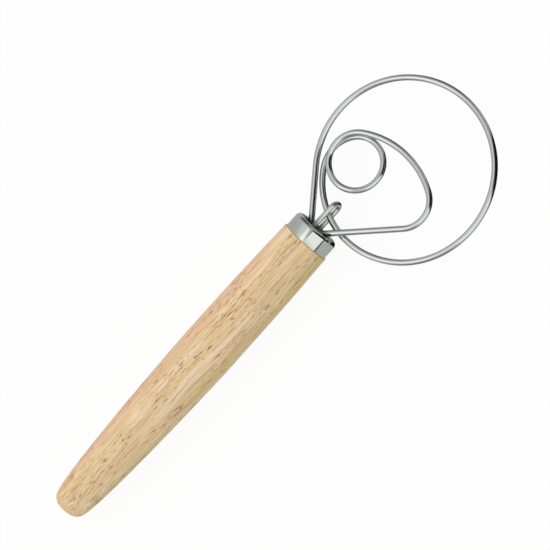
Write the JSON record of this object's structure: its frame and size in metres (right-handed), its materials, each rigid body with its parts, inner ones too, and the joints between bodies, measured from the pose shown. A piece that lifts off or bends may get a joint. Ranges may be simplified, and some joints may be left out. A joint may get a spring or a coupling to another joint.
{
  "type": "dough whisk",
  "caption": "Dough whisk with a turned wooden handle, a steel ferrule and a flat head of round steel wire bent into a big loop, a small ring and an inner lobe.",
  "frame": {"origin": "centre of the flat on the handle's butt, on the handle's axis", "axes": "+X along the handle towards the wire head, +Z square to the plane of the head, +Y to the side of the head that holds the small ring"},
  "size_m": [0.255, 0.0842, 0.025],
  "materials": {
    "wood": "fine straight-grained pale wood with short brown flecks, sanded and satin",
    "ferrule_steel": "polished stainless steel",
    "wire_steel": "polished stainless steel wire",
    "keeper_steel": "polished stainless steel wire",
    "adhesive": "cured amber adhesive, dull"
  },
  "bodies": {
    "root": {"handle": "wood", "ferrule": "ferrule_steel", "whisk_wire": "wire_steel", "keeper_wire": "keeper_steel", "adhesive_plug": "adhesive"}
  },
  "joints": []
}
